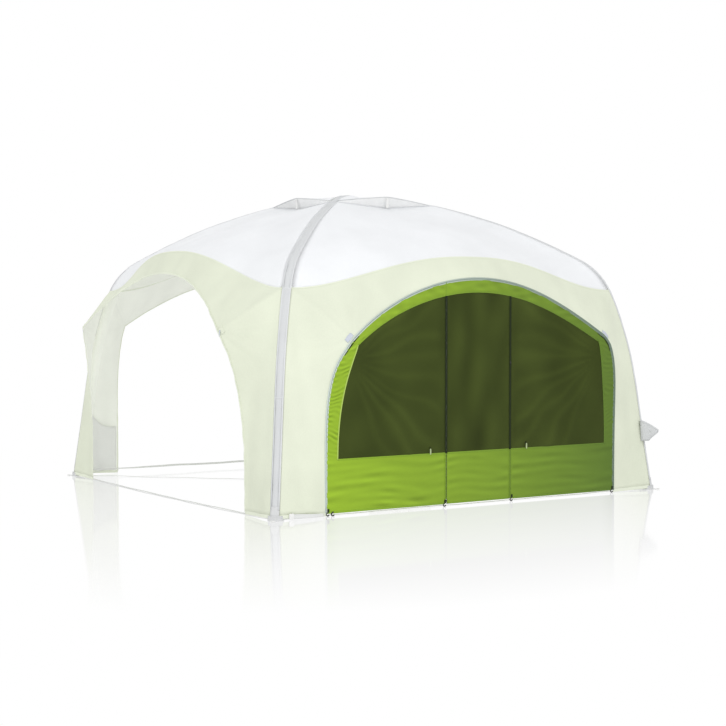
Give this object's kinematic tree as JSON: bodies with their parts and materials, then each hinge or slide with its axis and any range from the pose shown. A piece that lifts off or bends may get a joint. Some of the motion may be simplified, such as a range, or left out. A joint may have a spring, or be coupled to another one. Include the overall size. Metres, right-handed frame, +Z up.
{
  "type": "screen house shelter",
  "caption": "Air-frame camping shelter with crossed inflatable arches, a domed roof and a zip-in insect mesh wall with a skirt and door.",
  "frame": {"origin": "middle of the footprint on the ground", "axes": "+Z up, the mesh wall faces -Y, +X to the right of someone facing the mesh wall"},
  "size_m": [3.9494, 3.8907, 2.492],
  "materials": {
    "roof": "coated polyester, faint weave, satin",
    "wall": "coated polyester, faint weave, satin",
    "sleeve": "ripstop sleeve, matt",
    "bladder": "smooth film, semi-gloss",
    "lime": "coated polyester, satin",
    "mesh": "fine insect mesh, matt",
    "webbing": "woven tape, matt",
    "zip": "coil and tape",
    "plastic": "moulded, fine grain"
  },
  "bodies": {
    "shelter": {"bladder_a": "bladder", "sleeve_a": "sleeve", "valve_boss_a": "plastic", "valve_hood_a": "sleeve", "bladder_b": "bladder", "sleeve_b": "sleeve", "valve_boss_b": "plastic", "valve_hood_b": "sleeve", "foot_pad_front_left": "webbing", "foot_pad_front_right": "webbing", "foot_pad_back_right": "webbing", "foot_pad_back_left": "webbing", "ground_strap_front": "webbing", "roof_front": "roof", "wall_front_left": "wall", "wall_front_right": "wall", "vent_hood_front": "roof", "vent_mesh_front": "mesh", "ground_strap_right": "webbing", "roof_right": "roof", "wall_right_left": "wall", "wall_right_right": "wall", "vent_hood_right": "roof", "vent_mesh_right": "mesh", "ground_strap_back": "webbing", "roof_back": "roof", "wall_back_left": "wall", "wall_back_right": "wall", "vent_hood_back": "roof", "vent_mesh_back": "mesh", "ground_strap_left": "webbing", "roof_left": "roof", "wall_left_left": "wall", "wall_left_right": "wall", "vent_hood_left": "roof", "vent_mesh_left": "mesh", "ground_strap_cross": "webbing", "wall_frame": "lime", "mesh_left": "mesh", "mesh_right": "mesh", "arch_zip": "zip", "zip_left_fixed": "zip", "zip_right": "zip", "hem_hook_1": "plastic", "hem_hook_2": "plastic", "hem_hook_3": "plastic", "hem_hook_4": "plastic"},
    "door": {"door_mesh": "mesh", "door_skirt": "lime", "zip_left_door": "zip"},
    "door_slider_body": {"door_slider": "plastic"},
    "arch_slider_body": {"arch_slider": "plastic"},
    "prop_front": {"vent_prop_front": "plastic"},
    "prop_right": {"vent_prop_right": "plastic"},
    "prop_back": {"vent_prop_back": "plastic"},
    "prop_left": {"vent_prop_left": "plastic"},
    "cap_a": {"valve_cap_a": "plastic"},
    "cap_b": {"valve_cap_b": "plastic"},
    "toggle_left_body": {"toggle_left": "plastic"},
    "toggle_right_body": {"toggle_right": "plastic"}
  },
  "joints": [
    {"name": "door_swing", "type": "hinge", "parent": "shelter", "child": "door", "pos_m": [0.31, -1.825, 0], "axis": [0, 0, 1], "range_deg": [0, 110]},
    {"name": "door_zip_slide", "type": "slide", "parent": "shelter", "child": "door_slider_body", "axis": [0, 0, 1], "range_m": [0, 1.594]},
    {"name": "arch_zip_slide", "type": "slide", "parent": "shelter", "child": "arch_slider_body", "axis": [0.0002, -0.0036, 1], "range_m": [0, 0.3658]},
    {"name": "vent_prop_front_fold", "type": "hinge", "parent": "shelter", "child": "prop_front", "pos_m": [0, -0.55644, 2.3665], "axis": [0, -1, 0], "range_deg": [0, 80]},
    {"name": "vent_prop_right_fold", "type": "hinge", "parent": "shelter", "child": "prop_right", "pos_m": [0.55644, 0, 2.36738], "axis": [1, 0, 0], "range_deg": [0, 80]},
    {"name": "vent_prop_back_fold", "type": "hinge", "parent": "shelter", "child": "prop_back", "pos_m": [0, 0.55644, 2.36738], "axis": [0, 1, 0], "range_deg": [0, 80]},
    {"name": "vent_prop_left_fold", "type": "hinge", "parent": "shelter", "child": "prop_left", "pos_m": [-0.55644, 0, 2.36738], "axis": [-1, 0, 0], "range_deg": [0, 80]},
    {"name": "valve_cap_b_twist", "type": "hinge", "parent": "shelter", "child": "cap_b", "pos_m": [1.78544, -1.78544, 0.47], "axis": [0.7071, -0.7071, 0], "range_deg": [0, 90]},
    {"name": "valve_cap_a_twist", "type": "hinge", "parent": "shelter", "child": "cap_a", "pos_m": [1.78544, 1.78544, 0.47], "axis": [0.7071, 0.7071, 0], "range_deg": [0, 90]},
    {"name": "toggle_left_swing", "type": "hinge", "parent": "shelter", "child": "toggle_left_body", "pos_m": [-0.465, -1.839, 0.452], "axis": [0, -1, 0], "range_deg": [-60, 60]},
    {"name": "toggle_right_swing", "type": "hinge", "parent": "shelter", "child": "toggle_right_body", "pos_m": [0.465, -1.839, 0.452], "axis": [0, -1, 0], "range_deg": [-60, 60]}
  ]
}
